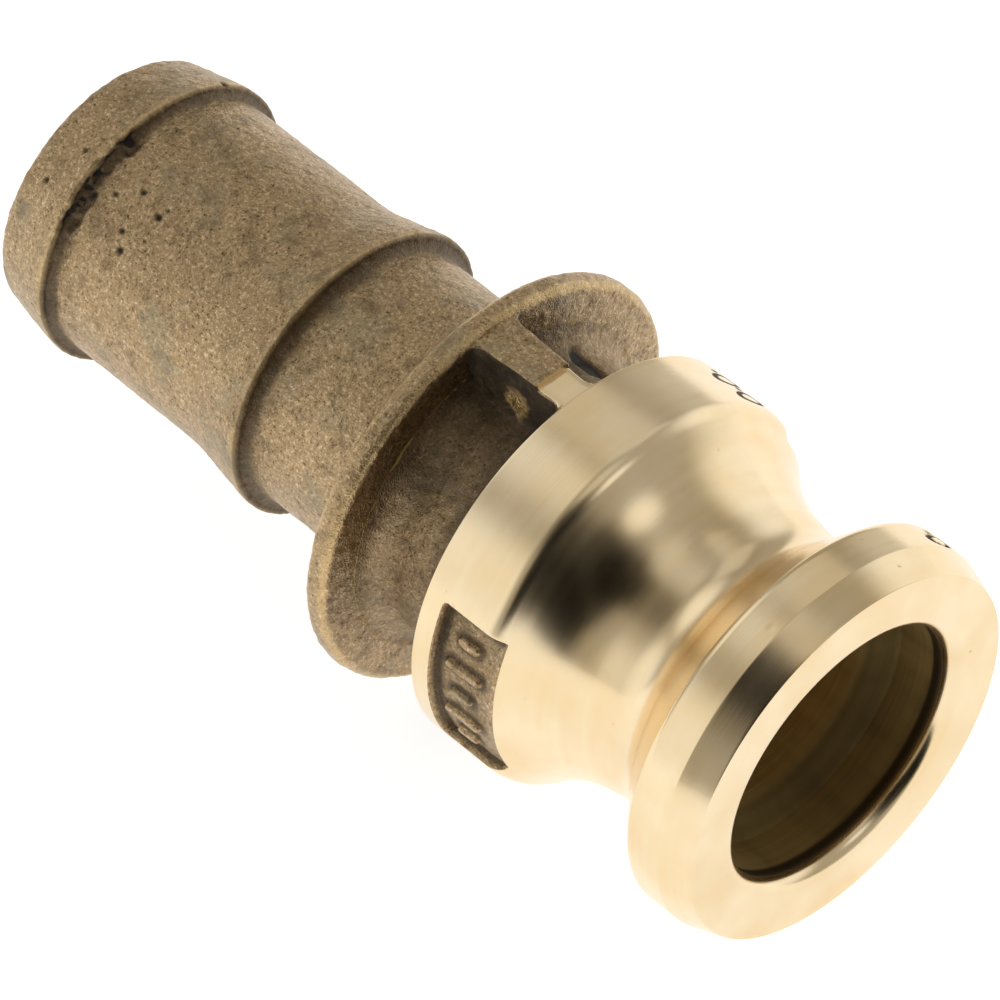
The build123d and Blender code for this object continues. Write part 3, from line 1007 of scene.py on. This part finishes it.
# Studio: azimuth and elevation in degrees, the angles within which it is full and beyond which it ends, and
# how much each dark flag takes away or each bright panel adds
FLAGS = (
    (-40, 32, 24, 36, 0.9), (-52, 56, 12, 26, 0.85), (-44, 4, 22, 36, 0.9), (-92, 60, 6, 20, 0.6),
    (136, 50, 12, 34, 0.22),
)
PANELS = (
    (85, 10, 14, 38, 0.65), (15, 53, 5, 14, 0.7), (-120, 12, 10, 34, 0.6), (-172, 45, 8, 26, 0.6),
    (0, 88, 4, 20, 0.25),
)
FLOOR_HALF, FLOOR_LINES = 1.6, 33
SOFTBOX_PLACE, SOFTBOX_SIZE = (-0.35, 0.45, 0.75), 0.5


class COUPLING_OT_set_stage(bpy.types.Operator):
    """Set the floor, the lights and the camera"""

    bl_idname = "coupling.set_stage"
    bl_label = "Set stage"

    def execute(self, context):
        scene = context.scene
        studio = scene.coupling_studio
        low, high = (np.array(corner) for corner in cad_box)
        middle = Vector((low + high) / 2)
        side = np.linspace(-FLOOR_HALF, FLOOR_HALF, FLOOR_LINES)
        x, y = np.meshgrid(side, side, indexing="ij")
        flat = np.stack((x, y, np.full(x.shape, low[2] - 0.0002)), -1).reshape(-1, 3)
        index = np.arange(FLOOR_LINES**2).reshape(FLOOR_LINES, FLOOR_LINES)
        faces = np.stack((index[:-1, :-1], index[1:, :-1], index[1:, 1:], index[:-1, 1:]), -1).reshape(-1, 4)
        mesh = bpy.data.meshes.new("floor")
        mesh.from_pydata(flat.tolist(), [], faces.tolist())
        mesh.materials.append(table_finish(studio.floor, studio.table_light))
        floor = bpy.data.objects.new("floor", mesh)
        scene.collection.objects.link(floor)

        world = bpy.data.worlds.new("studio")
        world.use_nodes = True
        world.node_tree.nodes.clear()
        sky = Signal(world.node_tree)
        direction = sky.node("ShaderNodeTexCoord", output="Generated")

        def towards(azimuth, elevation, near, far):
            """1 for directions within near degrees of this one, 0 beyond far degrees."""
            azimuth, elevation = np.radians((azimuth, elevation))
            flat = np.cos(elevation)
            aim = (flat * np.cos(azimuth), flat * np.sin(azimuth), np.sin(elevation))
            inputs = {0: direction, 1: aim}
            cosine = sky.node("ShaderNodeVectorMath", {"operation": "DOT_PRODUCT"}, inputs, "Value")
            return cosine.between(np.cos(np.radians(far)), np.cos(np.radians(near)))

        strength = studio.sky_strength
        for *lobe, share in PANELS:
            strength = towards(*lobe) * share + strength
        for *lobe, share in FLAGS:
            strength = strength * (1 - towards(*lobe) * share)
        tint = strength.between(0.2, 0.9).shade(studio.sky_dim, studio.sky)
        seen = sky.node("ShaderNodeLightPath", output="Is Camera Ray")
        strength = seen * (1 - strength) + strength
        light = sky.node("ShaderNodeBackground", inputs={"Color": tint, "Strength": strength})
        sky.node("ShaderNodeOutputWorld", inputs={"Surface": light})
        scene.world = world

        data = bpy.data.lights.new("softbox", "AREA")
        data.shape, data.size, data.energy = "SQUARE", SOFTBOX_SIZE, studio.softbox
        place = Vector(SOFTBOX_PLACE)
        lamp = bpy.data.objects.new("softbox", data)
        aim = (-place).to_track_quat("-Z", "Y").to_matrix().to_4x4()
        lamp.matrix_world = Matrix.Translation(middle + place) @ aim
        scene.collection.objects.link(lamp)

        data = bpy.data.cameras.new("camera")
        data.lens, data.sensor_width, data.clip_start = studio.lens, 36.0, 0.01
        camera = bpy.data.objects.new("camera", data)
        azimuth, elevation = studio.azimuth, studio.elevation
        away = Vector((
            np.cos(elevation) * np.cos(azimuth), np.cos(elevation) * np.sin(azimuth), np.sin(elevation),
        ))
        right = Vector((-np.sin(azimuth), np.cos(azimuth), 0))
        up = away.cross(right)
        place = middle + away * studio.distance + right * studio.aim_right - up * studio.aim_down
        camera.matrix_world = Matrix.Translation(place) @ Matrix((right, up, away)).transposed().to_4x4()
        scene.collection.objects.link(camera)
        scene.camera = camera
        scene.view_settings.view_transform = "Standard"
        return {"FINISHED"}


OPERATORS = (
    COUPLING_OT_turn_nose, COUPLING_OT_turn_groove, COUPLING_OT_turn_barrel, COUPLING_OT_cast_neck,
    COUPLING_OT_cast_shank, COUPLING_OT_set_stage,
)
GROUPS = {
    "coupling_passage": CouplingPassage, "coupling_head": CouplingHead, "coupling_neck": CouplingNeck,
    "coupling_shank": CouplingShank, "coupling_finish": CouplingFinish, "coupling_studio": CouplingStudio,
}


class COUPLING_PT_workshop(bpy.types.Panel):
    """Lists the settings and the steps that make the coupling"""

    bl_idname = "COUPLING_PT_workshop"
    bl_label = "Camlock coupling"
    bl_space_type = "VIEW_3D"
    bl_region_type = "UI"
    bl_category = "Coupling"

    def draw(self, context):
        for label, group in GROUPS.items():
            box = self.layout.box()
            box.label(text=group.__doc__)
            for key in group.__annotations__:
                box.prop(getattr(context.scene, label), key)
        for step in OPERATORS:
            self.layout.operator(step.bl_idname)


def register():
    """Registers the settings, the steps and the panel."""
    for group in GROUPS.values():
        bpy.utils.register_class(group)
    for step in (*OPERATORS, COUPLING_PT_workshop):
        bpy.utils.register_class(step)
    for label, group in GROUPS.items():
        setattr(bpy.types.Scene, label, PointerProperty(type=group))


def unregister():
    """Undoes register."""
    for label in GROUPS:
        delattr(bpy.types.Scene, label)
    for cls in (COUPLING_PT_workshop, *OPERATORS, *GROUPS.values()):
        bpy.utils.unregister_class(cls)


def main():
    """Makes the coupling and its stage."""
    register()
    bpy.ops.coupling.turn_nose()
    bpy.ops.coupling.turn_groove()
    bpy.ops.coupling.turn_barrel()
    bpy.ops.coupling.cast_neck()
    bpy.ops.coupling.cast_shank()
    bpy.ops.coupling.set_stage()


if __name__ == "__main__":
    main()
